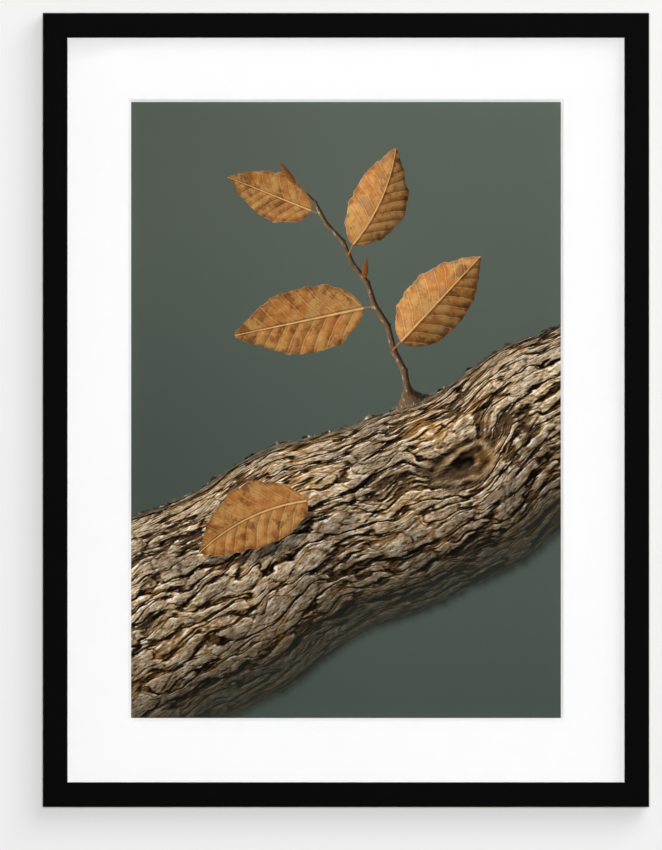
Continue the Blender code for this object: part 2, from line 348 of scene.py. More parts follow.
def along_line(x, z, base, turn):
    """A place as (along, across) for a straight line that leaves base at an angle."""
    right, up = x - base[0], z - base[1]
    cosine, sine = math.cos(math.radians(turn)), math.sin(math.radians(turn))
    return right * cosine + up * sine, up * cosine - right * sine


def bark_height(along, around, sway, fine=True):
    """Relief of rough old bark, 0 in its fissures and 1 on its ridges, at a place on the unrolled branch."""
    # The furrows bend round the knot.
    right, up = (along - KNOT[0]) * 0.62, around - KNOT[1]
    from_knot = root(right * right + up * up)
    swirl = step(3.6, 0.6, from_knot)

    # Long fissures, cracks between flakes of bark, roughness and, near by, pits.
    furrow = picture_noise(along * 0.15 + sway * 0.5, around * 0.62 + sway + swirl, 3.0, detail=3)
    fissure = step(0.0, 0.09, magnitude(furrow - 0.5))
    flakes = cells(
        point(along * 0.34 + sway * 0.9, around * 0.86 + sway * 1.6 + swirl * 0.8),
        flat=True,
        feature="DISTANCE_TO_EDGE",
    )
    crack = step(0.0, 0.11, flakes)
    rough = picture_noise(along * 0.9, around * 2.2, 7.0, detail=6 if fine else 2, roughness=0.66)
    bark = fissure * 0.40 + crack * 0.16 + rough * 0.62 - 0.10
    if fine:
        pits = step(0.30, 0.05, cells(point(along * 1.3 + rough, around * 1.9), flat=True))
        bark = bark - pits * 0.12

    # The knot's rings take the bark's place.
    rings = calc("SINE", from_knot * 5.5 + sway * 9.0) * 0.5 + 0.5
    burl = (rings * 0.34 + rough * 0.6) * step(0.30, 0.85, from_knot)
    return between(bark, burl, step(2.3, 1.4, from_knot))


def branch(x, z):
    """The branch's colour and its mask."""
    # A gently swaying branch, whose bark is laid out along it and round its girth.
    along, across = along_line(x, z, BRANCH_MIDDLE, BRANCH_TILT)
    across = across + picture_noise(along * 0.07, 0.0, 4.0, detail=1) * 3.0 - 1.5
    upper = step(-0.1, 0.1, across)
    half = BRANCH_HALF - along * 0.05
    side = across / half
    around = calc("ARCSINE", clamped(side, -0.995, 0.995)) * half
    toward = root(1.0 - side * side)

    # The relief here and a little nearer the light gives what is lit and what is shaded.
    sway = picture_noise(along * 0.30, around * 0.45, 1.0, detail=2) - 0.5
    here = bark_height(along, around, sway)
    near, far = (
        bark_height(along + LIGHT_ALONG * away, around + LIGHT_ACROSS * away, sway, fine)
        for away, fine in ((BARK_NEAR, True), (BARK_FAR, False))
    )
    relief = clamped((here - near) * 5.0, -1.0, 1.4)
    slope = clamped(here - far, -0.6, 0.6)
    shadow = step(0.04, 0.40, far - here)

    # The upper edge is sharp and ragged, and the lower one out of focus.
    ragged = picture_noise(along * 0.8, upper * 5.0, 5.0, detail=3, roughness=0.55) - 0.5
    edge = half + ragged * (0.8 + upper * 0.5) - magnitude(across) + (here - 0.5) * (upper * 0.25)
    soft = between(0.55, 0.07, upper)
    mask = step(-soft, soft, edge)

    # Colours, from the cracks up to the dust on the ridges, with ochre and damp patches.
    patch = picture_noise(along * 0.16, around * 0.24, 11.0, detail=2)
    dust = picture_noise(along * 1.4, around * 2.0, 15.0, detail=4, roughness=0.7)
    colour = mix(BARK_CRACK, BARK_HOLLOW, step(0.08, 0.40, here))
    colour = mix(colour, BARK_RIDGE, step(0.36, 0.70, here + patch * 0.5 - 0.25))
    colour = mix(colour, BARK_DUST, step(0.60, 0.95, here + dust * 0.9 - 0.45) * 0.85)
    colour = mix(colour, BARK_OCHRE, step(0.48, 0.66, patch) * step(1.0, 0.3, here) * 0.62)
    colour = mix(colour, BARK_DAMP, step(0.48, 0.36, patch) * 0.45)

    # Light from above, glints on the ridges, and the ground's light from below.
    lit = high(side * 0.70 + toward * 0.66, 0.0)
    light = (0.11 + lit) * (0.82 + relief * 0.82 + slope * 0.88) * (1.0 - shadow * 0.78)
    light = high(light, 0.02) * between(0.35, 1.0, step(0.0, 1.2, edge))
    glint = step(0.45, 1.05, relief) * lit * step(0.48, 0.62, dust) * 0.95
    colour = mix(tint(colour, light), BARK_GLINT, glint)
    bounce = step(-0.45, -0.95, side) * 0.20
    return mix(colour, BARK_BOUNCE, bounce), mask


def nearest_leaf(x, z, leaves):
    """Numbers that describe the leaf whose middle is nearest.

    They are the place along, across and off it, its width and its bend, all in its lengths, then its length,
    and how far its left half, its left pleats and its right pleats face the light.
    """
    place = point(x, z)
    tree = tree_of((place,))
    chosen = None
    for spec in leaves:
        turn, length = math.radians(spec["turn"]), spec["length"]
        from_light = turn - math.radians(LIGHT_FROM)
        right, up = spec["base"]
        local = tree.nodes.new("ShaderNodeMapping")
        put(tree, local.inputs["Vector"], place)
        local.inputs["Scale"].default_value = (1 / length, 1 / length, 1)
        local.inputs["Rotation"].default_value = (0, 0, -turn)
        local.inputs["Location"].default_value = (
            -(right * math.cos(turn) + up * math.sin(turn)) / length,
            (right * math.sin(turn) - up * math.cos(turn)) / length,
            0,
        )
        away = tree.nodes.new("ShaderNodeVectorMath")
        away.operation = "DISTANCE"
        away.inputs[1].default_value = (0.5, 0, 0)
        tree.links.new(local.outputs[0], away.inputs[0])
        distance = Num(away.outputs["Value"])
        shape = (spec["width"] / length, spec["bend"] / length, length, 1)
        facing = [math.cos(from_light + lean) for lean in (math.pi / 2, -math.pi / 4, math.pi / 4)]
        offered = (Num(local.outputs[0]), shape, (*facing, 1))
        if chosen is None:
            chosen, nearest = offered, distance
        else:
            closer = calc("LESS_THAN", distance, nearest)
            chosen = [mix(old, new, closer) for old, new in zip(chosen, offered)]
            nearest = low(nearest, distance)
    return [number for vector in chosen for number in split(vector)]


def leaf_swell(share, width):
    """Half a leaf's width a share of the way from its base to its tip, from its greatest width."""
    return power(share, LEAF_PLUMP) * power(1.0 - share, LEAF_TAPER) * width * (1 / LEAF_PEAK)


def paint_leaves(x, z, leaves):
    """The colour and the mask of dry beech leaves that don't overlap.

    Each has two drooping halves, pleated between the side veins.
    """
    along, across, _, ratio, bend, length, from_left, left_pleats, right_pleats = nearest_leaf(x, z, leaves)
    mottle = picture_noise(x * 1.3, z * 1.3, 5.0, detail=5, roughness=0.62)
    spots = picture_noise(x * 0.8, z * 0.8, 9.0, detail=4, roughness=0.70)
    wavy = picture_noise(x * 0.9, z * 0.9, 13.0, detail=3) - 0.5
    curl = picture_noise(x * 0.30, z * 0.30, 27.0, detail=2)

    # The curved blade, with its edge wavy between the side veins, and the stalk.
    share = clamped(along, 0.0, 1.0)
    across = across + share * (1.0 - share) * (4.0 * bend)
    swell = leaf_swell(share, ratio)
    reach = magnitude(across)
    out = low(reach / (swell + 0.001), 1.0)
    left = step(-0.001, 0.001, across)
    phase = (along - reach * 0.95 + reach * reach) * SIDE_VEINS + left * 0.45 + wavy * 0.3
    panel = fraction(phase)
    rib = magnitude(panel - 0.5) * 2.0
    edge = (swell * (1.0 + wavy * 0.30) - reach) * length + rib * 0.08 + curl * 0.5 - 0.29
    blade = step(-0.02, 0.04, edge) * step(0.0, 0.005, along) * step(1.0, 0.995, along)
    from_base = along * length
    stalk = step(STALK_HALF + 0.02, STALK_HALF - 0.02, reach * length)
    stalk = stalk * step(-STALK, 0.04 - STALK, from_base) * step(0.3, 0.2, from_base)

    # Dry colours, with dark spots and a darker margin.
    colour = mix(LEAF_PALE, LEAF_BROWN, step(0.25, 0.75, mottle + curl * 0.9 - 0.45))
    colour = mix(colour, LEAF_SPOT, step(0.54, 0.72, spots + share * 0.10) * 0.72)
    colour = mix(colour, LEAF_MARGIN, step(0.50, 0.0, edge) * step(0.25, 0.65, mottle) * 0.75)

    # Light on the drooping halves and on the pleats.
    droop = (left * 2.0 - 1.0) * (0.30 + out * 0.62) * from_left
    pleat = panel * 2.0 - 1.0
    pleat = pleat * (1.0 - power(magnitude(pleat), 6.0)) * (1.0 - out * 0.35)
    pleat = pleat * between(right_pleats, left_pleats, left)
    light = (0.66 + droop * 0.46 + pleat * 0.30) * (0.50 + curl) * (0.82 + mottle * 0.36)
    groove = step(0.97, 0.72, rib) * step(0.50, 0.9, rib)
    light = high(light, 0.16) * (1.0 - groove * 0.20)
    colour = tint(colour, light * 1.12)
    sheen = step(0.66, 1.05, light) * step(0.42, 0.75, spots)
    colour = mix(colour, LEAF_SHEEN, sheen * 0.30)

    # Side veins, the midrib with its shade, and the lit rim.
    vein = step(0.90 + 0.05 * share, 0.99, rib) * step(0.0, 0.4, edge)
    colour = mix(colour, tint(LEAF_VEIN, 0.35 + light * 0.8), vein * 0.42)
    spine = (1.0 - share) * 0.006 + 0.003
    shade = step(spine + 0.018, spine, magnitude(across + from_left * 0.009))
    colour = mix(colour, LEAF_SHADE, shade * 0.60)
    rise = tint(LEAF_RIDGE, 0.45 + light * 0.7)
    colour = mix(colour, rise, step(spine + 0.002, spine - 0.002, reach) * 0.9)
    colour = mix(colour, LEAF_RIM, step(0.07, 0.02, edge) * step(0.5, 0.9, light) * 0.50)
    stem = tint(LEAF_STALK, clamped(0.62 + across * (from_left * 50.0), 0.2, 1.1))
    return mix(stem, colour, blade), high(blade, stalk)


def blurred_leaf(x, z, blur, base, turn, length, width, bend):
    """The mask of a leaf's blurred shape, for its shadow."""
    along, across = along_line(x, z, base, turn)
    share = clamped(along / length, 0.0, 1.0)
    across = across + share * (1.0 - share) * (4.0 * bend)
    ends = step(-blur * 0.6, blur * 0.4, along) * step(length + blur * 0.5, length - blur, along)
    return step(-blur, blur, leaf_swell(share, width) - magnitude(across)) * ends


def twig(x, z, base, turn, length, thick, bend):
    """A thin twig's colour and its mask. It widens where it grows out of the branch."""
    along, across = along_line(x, z, base, turn)
    share = clamped(along / length, 0.0, 1.0)
    kinks = calc("PINGPONG", share * TWIG_KINKS, 0.5) - 0.25
    across = across + share * (1.0 - share) * (4.0 * bend) + kinks * TWIG_KINK_SIZE
    knots = power(magnitude(kinks) * 4.0, 8.0)
    collar = power(step(1.6, -1.4, along), 2.0)
    grain = picture_noise(along * 1.6, across * 5.0, 31.0, detail=4, roughness=0.65)
    half = (1.0 - share * 0.50) * (thick + knots * 0.09) + collar * (1.1 + grain * 0.8)
    side = across / half
    mask = step(1.08, 0.90, magnitude(side)) * step(length + 0.02, length - 0.02, along)
    mask = mask * step(-1.1, -0.5, along + (grain - 0.5) * 1.6)
    colour = mix(TWIG_DARK, TWIG_PALE, grain)
    colour = mix(colour, TWIG_FLECK, step(0.60, 0.70, grain) * 0.6)
    toward = root(1.0 - low(side * side, 1.0))
    light = 0.16 + high(side * 0.76 + toward * 0.46, 0.0) * 1.25
    return tint(colour, light), mask


def on_twig(share):
    """The place that lies a share of the way along the twig."""
    (right, up), turn = TWIG["base"], math.radians(TWIG["turn"])
    along = share * TWIG["length"]
    kinks = abs((share * TWIG_KINKS + 0.5) % 1.0 - 0.5) - 0.25
    across = -share * (1.0 - share) * 4.0 * TWIG["bend"] - kinks * TWIG_KINK_SIZE
    return (
        right + along * math.cos(turn) - across * math.sin(turn),
        up + along * math.sin(turn) + across * math.cos(turn),
    )


def bud(x, z, base, turn, length):
    """A slender pointed bud's colour and its mask."""
    along, across = along_line(x, z, base, turn)
    swell = leaf_swell(clamped(along / length, 0.0, 1.0), BUD_WIDTH)
    reach = magnitude(across)
    mask = step(-0.02, 0.02, swell - reach) * step(0.0, 0.04, along) * step(length, length - 0.04, along)
    scale = fraction((along - reach * 1.6) * 2.6)
    light = 0.45 + across / (swell + 0.01) * 0.35 + scale * 0.45
    return tint(mix(BUD_PALE, BUD_BROWN, scale), light), mask


def stalked(at, turn, **shape):
    """A leaf's measures, with its base at the end of a stalk that leaves the twig."""
    right, up = on_twig(at)
    reach = STALK * 0.9
    angle = math.radians(turn)
    return dict(base=(right + reach * math.cos(angle), up + reach * math.sin(angle)), turn=turn, **shape)


def paint_picture(x, z):
    """The whole picture: a twig of dry beech leaves on a rough old branch, before a grey-green ground."""
    drift = picture_noise(x * 0.05, z * 0.05, 2.0, detail=2)
    colour = mix(GROUND_LOW, GROUND_HIGH, step(-12.0, 24.0, z))
    glow = between(0.86, 1.03, step(-19.0, 2.0, x)) * between(0.87, 1.0, step(-27.0, -13.0, z))
    colour = tint(colour, glow * (0.94 + drift * 0.12))

    wood, wood_mask = branch(x, z)
    lean = (FALLEN_LEAF["base"][0] + 0.6, FALLEN_LEAF["base"][1] - 0.9)
    shadow = blurred_leaf(x, z, 0.45, **{**FALLEN_LEAF, "base": lean})
    colour = mix(colour, tint(wood, 1.0 - shadow * 0.70), wood_mask)
    for layer, mask in (
        twig(x, z, **TWIG),
        paint_leaves(x, z, [FALLEN_LEAF] + [stalked(**spec) for spec in TWIG_LEAVES]),
        bud(x, z, on_twig(1.0), TWIG["turn"] + 8, length=2.3),
        bud(x, z, on_twig(0.52), TWIG["turn"] - 34, length=1.7),
    ):
        colour = mix(colour, layer, mask)
    return colour


def print_finish():
    """The picture with its fine grain, inside the print's white border."""
    finish = Finish("printed_picture", Roughness=0.45, Specular_IOR_Level=0.15)
    x, z = finish.x * 100.0, (finish.z - CENTRE_Z) * 100.0
    picture = paint_picture(x, z)
    grain = noise(finish.place, scale=2600.0, detail=1.0) - 0.5
    picture = tint(picture, 1.01 + grain * 0.05)
    inside = step(PRINTED_HALF_WIDTH, PRINTED_HALF_WIDTH - PRINTED_EDGE, magnitude(x))
    inside = inside * step(PRINTED_HALF_HEIGHT, PRINTED_HALF_HEIGHT - PRINTED_EDGE, magnitude(z))
    inside = inside * step(-0.2, -0.5, finish.facing(1))
    paper = mix(PAPER_PALE, PAPER_DULL, noise(finish.place, scale=400.0, detail=3))
    finish.set(Base_Color=mix(paper, picture, inside))
    return finish.material


# ---------------------------------------------------------------- the other finishes

SPRAY_SWAY = 1.8 * MILLIMETRE
SPRAY_FROM, SPRAY_TO = 1.7 * MILLIMETRE, 3.7 * MILLIMETRE
LACQUER_TO = (SHELF_Y - 0.2 * MILLIMETRE, SHELF_Y + 0.1 * MILLIMETRE)
BEVEL_FACING = (-0.9, -0.8)


def lacquered_wood(name, lengthwise):
    """Satin black lacquer on the show faces, and bare pale wood on the back and in the rebate.

    Its grain runs along one axis: 0 for X and 2 for Z.
    """
    finish = Finish(name)
    along, across = (finish.x, finish.z) if lengthwise == 0 else (finish.z, finish.x)
    grain_place = point(along * 18.0, across * 420.0, finish.y * 420.0)
    pores = noise(point(along * 60.0, across * 2200.0, finish.y * 2200.0), detail=4, roughness=0.7)
    grain = noise(grain_place, detail=4, roughness=0.6, distortion=0.2)
    inward = low(
        FRAME_WIDTH / 2 - magnitude(finish.x), FRAME_HEIGHT / 2 - magnitude(finish.z - CENTRE_Z)
    )
    spray = noise(finish.place, scale=620.0, detail=2) * SPRAY_SWAY
    bare = step(SPRAY_FROM, SPRAY_TO, inward + spray) * step(*LACQUER_TO, finish.y)
    black = mix(srgb(5, 5, 5), srgb(7, 7, 7), grain)
    wood = mix(srgb(205, 176, 132), srgb(176, 140, 96), step(0.35, 0.75, grain))
    wood = mix(wood, srgb(140, 104, 66), step(0.62, 0.80, pores) * 0.5)
    finish.set(
        Base_Color=mix(black, wood, bare),
        Roughness=between(0.40 + pores * 0.10, 0.78, bare),
    )
    finish.bump(grain * 0.5 + pores * 0.5, 0.06 * MILLIMETRE)
    return finish.material


def picture_glass():
    """Clear float glass."""
    settings = dict(Base_Color=(1, 1, 1, 1), Roughness=0.0, IOR=1.52, Transmission_Weight=1.0)
    return Finish("picture_glass", **settings).material


def mount_board():
    """White face paper with a faint tooth, over the whiter core that shows on the bevel."""
    finish = Finish("mount_board", Roughness=0.9)
    tooth = noise(finish.place, scale=1500.0, detail=4, roughness=0.6)
    cloud = noise(finish.place, scale=60.0, detail=3)
    face = mix(srgb(247, 247, 247), srgb(244, 244, 244), cloud)
    finish.set(Base_Color=mix(face, srgb(254, 254, 254), step(*BEVEL_FACING, finish.facing(1))))
    finish.bump(tooth, 0.03 * MILLIMETRE)
    return finish.material


def plain_board():
    """Off-white board with faint flecks."""
    finish = Finish("undermount_board", Roughness=0.92)
    fleck = noise(finish.place, scale=700.0, detail=4, roughness=0.65)
    finish.set(Base_Color=mix(srgb(240, 237, 229), srgb(224, 219, 206), fleck))
    finish.bump(fleck, 0.04 * MILLIMETRE)
    return finish.material


def fibreboard():
    """Smooth brown board pressed from wood fibre."""
    finish = Finish("fibreboard")
    cloud = noise(finish.place, scale=9.0, detail=2)
    strands = point(finish.x * 420.0, finish.y * 420.0, finish.z * 700.0)
    fibre = noise(strands, detail=6, roughness=0.72, distortion=1.2)
    fleck = cells(finish.place, scale=480.0)
    splinter = noise(point(finish.x * 900.0, finish.y * 900.0, finish.z * 160.0), detail=2)
    colour = mix(srgb(152, 113, 75), srgb(124, 87, 55), step(0.30, 0.70, cloud * 0.20 + fibre * 0.80))
    colour = mix(colour, srgb(84, 56, 34), step(0.24, 0.08, fleck) * step(0.48, 0.60, fibre))
    colour = mix(colour, srgb(190, 156, 116), step(0.66, 0.74, splinter) * 0.45)
    finish.set(Base_Color=colour, Roughness=0.50 + fibre * 0.25)
    finish.bump(fibre, 0.05 * MILLIMETRE)
    return finish.material


def plated_metal(name, bright, dull, roughness):
    """Plated sheet steel with faint scratches and cloudy patches."""
    finish = Finish(name, Metallic=1.0)
    scratch = noise(point(finish.x * 300.0, finish.y * 300.0, finish.z * 6000.0), detail=3)
    cloud = noise(finish.place, scale=350.0, detail=4, roughness=0.6)
    finish.set(
        Base_Color=mix(bright, dull, step(0.35, 0.75, cloud)),
        Roughness=roughness + cloud * 0.18 + scratch * 0.08,
    )
    finish.bump(scratch * 0.5 + cloud * 0.5, 0.02 * MILLIMETRE)
    return finish.material


def grey_felt():
    """Mottled grey felt with a fibrous nap."""
    finish = Finish("grey_felt", Roughness=1.0, Sheen_Weight=0.5, Sheen_Roughness=0.6)
    fibre = noise(finish.place, scale=2600.0, detail=5, roughness=0.75, distortion=1.5)
    finish.set(Base_Color=mix(srgb(66, 67, 70), srgb(118, 119, 122), step(0.3, 0.75, fibre)))
    finish.bump(fibre, 0.25 * MILLIMETRE)
    return finish.material


def assign(material, *names):
    """Gives CAD nodes a finish through their material slots."""
    for name in names:
        for slot in nodes[name].material_slots:
            slot.material = material


# ---------------------------------------------------------------- the fine pieces
# The glue in the mitres, the tabs, the hanger, its nails and the pads.

ROOT_TWO = math.sqrt(2)
SMOOTH_ANGLE = math.radians(35)
SIDE_TURNS = {"top": 0, "right": 90, "bottom": 180, "left": 270}

FACE_WIDTH = 20.0 * MILLIMETRE
SOLID_WIDTH = 14.0 * MILLIMETRE
FRONT_EDGE = 0.6 * MILLIMETRE
BACK_EDGE = 0.4 * MILLIMETRE
EDGE_STEPS = 4
GLUE_THICKNESS = 0.26 * MILLIMETRE
GLUE_RECESS = 0.10 * MILLIMETRE
WEDGE_KERF = (4.85 * MILLIMETRE, 6.15 * MILLIMETRE)
WEDGE_KERF_DEPTH = 10.5 * MILLIMETRE

TAB_HEAD = 11.5 * MILLIMETRE
TAB_HEAD_HALF = 4.5 * MILLIMETRE
TAB_TAIL = 7.0 * MILLIMETRE
TAB_TAIL_HALF = 3.0 * MILLIMETRE
TAB_POINT = 2.5 * MILLIMETRE
TAB_SHOULDER = 0.3 * MILLIMETRE
TAB_RIB_HALF = 1.3 * MILLIMETRE
TAB_RIB_RISE = 0.35 * MILLIMETRE
TAB_RIB_ENDS = (-9.2 * MILLIMETRE, -2.0 * MILLIMETRE)
TAB_RIB_RAMP = 1.0 * MILLIMETRE
TAB_RIB_CREST = 1.3
TAB_BEND = 0.16 * MILLIMETRE
TAB_BLUNT = 0.05 * MILLIMETRE
TAB_COLUMNS = 20
TAB_TIP_ANGLES = range(6, 91, 7)
TAB_HEAD_ROWS = 13
TAB_ROW_PITCH = 0.5 * MILLIMETRE
TAB_EDGE = 0.07 * MILLIMETRE
HAIR = 0.001 * MILLIMETRE

NOTCHES = 7
NOTCH_PITCH = 3.6 * MILLIMETRE
NOTCH_DEPTH = 2.2 * MILLIMETRE
NOTCH_HALF = 1.5 * MILLIMETRE
TOOTH_ROUND = 0.12 * MILLIMETRE
TOOTH_ROUND_DEPTH = 0.16 * MILLIMETRE
TOOTH_ANGLES = (34, 146)
TOOTH_STEPS = 4
HANGER_CORNER = 1.6 * MILLIMETRE
CORNER_STEPS = 6
HANGER_EDGE = 0.12 * MILLIMETRE
HANGER_RISE = 1.5 * MILLIMETRE
HANGER_BEND = (13.2 * MILLIMETRE, 16.2 * MILLIMETRE)
HANGER_THICKNESS = 0.9 * MILLIMETRE
HANGER_HOLE = 1.2 * MILLIMETRE
HOLE_TURN = dict(start=0, end=345, steps=23)
BEND_CUTS = 9

NAIL_SHANK = 0.8 * MILLIMETRE
NAIL_POINT = 2.0 * MILLIMETRE
NAIL_HEAD = 2.2 * MILLIMETRE
NAIL_HEAD_HEIGHT = 0.8 * MILLIMETRE
NAIL_RIM = 0.22 * MILLIMETRE
NAIL_RIM_EDGE = (0.10 * MILLIMETRE, 0.08 * MILLIMETRE)
DOME_STEPS = 8
PAD_EDGE = 0.7 * MILLIMETRE
PAD_FRAY = 0.10 * MILLIMETRE
PAD_WAVES = (5200, 3100, 4700, 2300)
PAD_SINK = 0.06 * MILLIMETRE
PAD_FRONT_RINGS = (0.3, 0.6, 0.85)
PAD_REAR_RINGS = (0.7, 0.45, 0.2)
PAD_ROWS = 6
PAD_EDGE_ARC = dict(start=15, end=90, steps=5)
ROUND_STEPS = 64


def smooth(share):
    """A smooth rise from 0 to 1."""
    share = min(max(share, 0.0), 1.0)
    return share * share * (3 - 2 * share)


def outer_third(share):
    """A smooth rise from 0 to 1 over the last third of a way."""
    return smooth(3 * share - 2)


def arc(centre, radius, start, end, steps):
    """Points on a circle, from angle start to angle end in degrees."""
    turns = [math.radians(start + (end - start) * i / steps) for i in range(steps + 1)]
    return [(centre[0] + radius * math.cos(t), centre[1] + radius * math.sin(t)) for t in turns]


def add_piece(name, bm, material, slot, *replaced):
    """A piece of the frame, in place of the CAD nodes that it names."""
    bm.normal_update()
    bmesh.ops.recalc_face_normals(bm, faces=bm.faces)
    mesh = bpy.data.meshes.new(name)
    bm.to_mesh(mesh)
    bm.free()
    mesh.materials.append(material)
    mesh.shade_smooth()
    mesh.set_sharp_from_angle(angle=SMOOTH_ANGLE)
    piece = bpy.data.objects.new(name, mesh)
    bpy.context.scene.collection.objects.link(piece)
    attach(piece, "root")
    if replaced:
        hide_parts(*replaced)
    return piece


def bridge(bm, rings):
    """Faces between rings of points that have as many points each."""
    for ring, next_ring in zip(rings, rings[1:]):
        for i in range(len(ring)):
            j = (i + 1) % len(ring)
            bm.faces.new((ring[i], ring[j], next_ring[j], next_ring[i]))


def mitre_section():
    """The moulding's section, set back a hair, with a gap for the steel wedge: (distance in, y) points."""
    recess = GLUE_RECESS
    front_y, back_y = FRONT_Y + recess, BACK_Y - recess
    kerf_y = BACK_Y - WEDGE_KERF_DEPTH
    return [
        *arc((FRONT_EDGE + recess, front_y + FRONT_EDGE), FRONT_EDGE, 180, 270, EDGE_STEPS),
        *arc((FACE_WIDTH - recess - FRONT_EDGE, front_y + FRONT_EDGE), FRONT_EDGE, 270, 360, EDGE_STEPS),
        (FACE_WIDTH - recess, SHELF_Y - recess),
        (SOLID_WIDTH - recess, SHELF_Y - recess),
        (SOLID_WIDTH - recess, back_y),
        (WEDGE_KERF[1], back_y),
        (WEDGE_KERF[1], kerf_y),
        (WEDGE_KERF[0], kerf_y),
        (WEDGE_KERF[0], back_y),
        *arc((BACK_EDGE + recess, back_y - BACK_EDGE), BACK_EDGE, 90, 180, EDGE_STEPS),
    ]


def make_mitre_glue(name, side_x, side_z, material):
    """The glue and lacquer that fill one mitre, as a thin slab in its diagonal plane."""
    bm = bmesh.new()
    half = GLUE_THICKNESS / 2 / ROOT_TWO
    sides = []
    for lean in (-half, half):
        side = []
        for inward, y in mitre_section():
            x = side_x * (FRAME_WIDTH / 2 - inward + lean)
            z = CENTRE_Z + side_z * (FRAME_HEIGHT / 2 - inward - lean)
            side.append(bm.verts.new((x, y, z)))
        sides.append(side)
    for side in sides:
        bm.faces.new(side)
    bridge(bm, sides)
    add_piece(name, bm, material, "black_wood")


def tab_half_width(along):
    """Half the width of a retaining tab, from the round tip of its head to the point of its tail."""
    if along < TAB_HEAD_HALF - TAB_HEAD:
        return math.sqrt(max(TAB_HEAD_HALF**2 - (along + TAB_HEAD - TAB_HEAD_HALF) ** 2, 0.0))
    if along <= -TAB_SHOULDER:
        return TAB_HEAD_HALF
    return TAB_TAIL_HALF * min(1.0, (TAB_TAIL - along) / TAB_POINT)


def tab_rows():
    """How far along a tab its rows of points lie, from the tip of its head to the point of its tail."""
    round_end = [-TAB_HEAD + TAB_HEAD_HALF * (1 - math.cos(math.radians(a))) for a in TAB_TIP_ANGLES]
    head = [TAB_HEAD_HALF - TAB_HEAD + TAB_ROW_PITCH * (i + 1) for i in range(TAB_HEAD_ROWS)]
    shoulder = [-TAB_SHOULDER, -TAB_SHOULDER + HAIR]
    return [*round_end, *head, *shoulder, TAB_TAIL - TAB_POINT, TAB_TAIL - TAB_BLUNT]


def tab_face(bm, offset):
    """One face of a tab, with its stamped rib and its bent head. It returns the points along its rim."""
    lines = []
    for along in tab_rows():
        half = tab_half_width(along)
        from_ends = (along - TAB_RIB_ENDS[0], TAB_RIB_ENDS[1] - along)
        rib_rise = TAB_RIB_RISE * math.prod(smooth(reach / TAB_RIB_RAMP) for reach in from_ends)
        bend = TAB_BEND * smooth(-along / TAB_HEAD)
        line = []
        for i in range(TAB_COLUMNS + 1):
            x = half * (2 * i / TAB_COLUMNS - 1)
            rib = rib_rise * smooth(TAB_RIB_CREST - abs(x) / TAB_RIB_HALF)
            line.append(bm.verts.new((x, offset + rib - bend, along)))
        lines.append(line)
    for line, next_line in zip(lines, lines[1:]):
        for i in range(TAB_COLUMNS):
            bm.faces.new((line[i], line[i + 1], next_line[i + 1], next_line[i]))
    right_edge, left_edge = [line[-1] for line in lines[1:-1]], [line[0] for line in lines[-2:0:-1]]
    return [*lines[0], *right_edge, *reversed(lines[-1]), *left_edge]


def make_tab(node, material):
    """A pressed steel tab with a stamped rib, its head bent down a little on to the backing board."""
    low_corner, high_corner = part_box(node)
    turn = SIDE_TURNS[node.split("_")[2]]
    middle = (low_corner + high_corner) / 2
    place = (
        Matrix.Translation(middle)
        @ Matrix.Rotation(math.radians(turn), 4, "Y")
        @ Matrix.Translation((0, 0, (TAB_HEAD - TAB_TAIL) / 2))
    )
    thickness = high_corner.y - low_corner.y
    bm = bmesh.new()
    bridge(bm, [tab_face(bm, side * thickness) for side in (-0.5, 0.5)])
    bm.transform(place)
    tab = add_piece(node.replace("retaining", "steel"), bm, material, "plated_steel", node)
    edge = tab.modifiers.new("softened_edges", "BEVEL")
    edge.width = TAB_EDGE
    edge.segments = 2
    edge.limit_method = "ANGLE"
    edge.angle_limit = math.radians(60)


def hanger_outline(width, height):
    """A strip with round corners and V notches along its lower edge, as (x, z) points from its middle."""
    right, top, corner = width / 2, height / 2, HANGER_CORNER
    outline = [
        *arc((corner - right, top - corner), corner, 180, 90, CORNER_STEPS),
        *arc((right - corner, top - corner), corner, 90, 0, CORNER_STEPS),
        *arc((right - corner, corner - top), corner, 0, -90, CORNER_STEPS),
    ]
    for i in reversed(range(NOTCHES)):
        x = (i - (NOTCHES - 1) / 2) * NOTCH_PITCH
        outline.append((x + NOTCH_HALF, -top))
        outline += arc((x, NOTCH_DEPTH - top - TOOTH_ROUND_DEPTH), TOOTH_ROUND, *TOOTH_ANGLES, TOOTH_STEPS)
        outline.append((x - NOTCH_HALF, -top))
    return outline + arc((corner - right, corner - top), corner, 270, 180, CORNER_STEPS)


def flat_plate(outlines, thickness, edge):
    """A flat plate with rounded edges, from its outline and those of its holes, as (x, y) points."""
    curve = bpy.data.curves.new("outlines", "CURVE")
    curve.dimensions = "2D"
    curve.fill_mode = "BOTH"
    curve.extrude = thickness / 2 - edge
    curve.bevel_depth = edge
    curve.bevel_resolution = 2
    for points in outlines:
        spline = curve.splines.new("POLY")
        spline.points.add(len(points) - 1)
        spline.use_cyclic_u = True
        for target, place in zip(spline.points, points):
            target.co = (*place, 0, 1)
    sketch = bpy.data.objects.new("sketch", curve)
    bm = bmesh.new()
    bm.from_mesh(sketch.to_mesh())
    sketch.to_mesh_clear()
    bpy.data.objects.remove(sketch)
    bmesh.ops.remove_doubles(bm, verts=bm.verts, dist=2 * HAIR)
    return bm


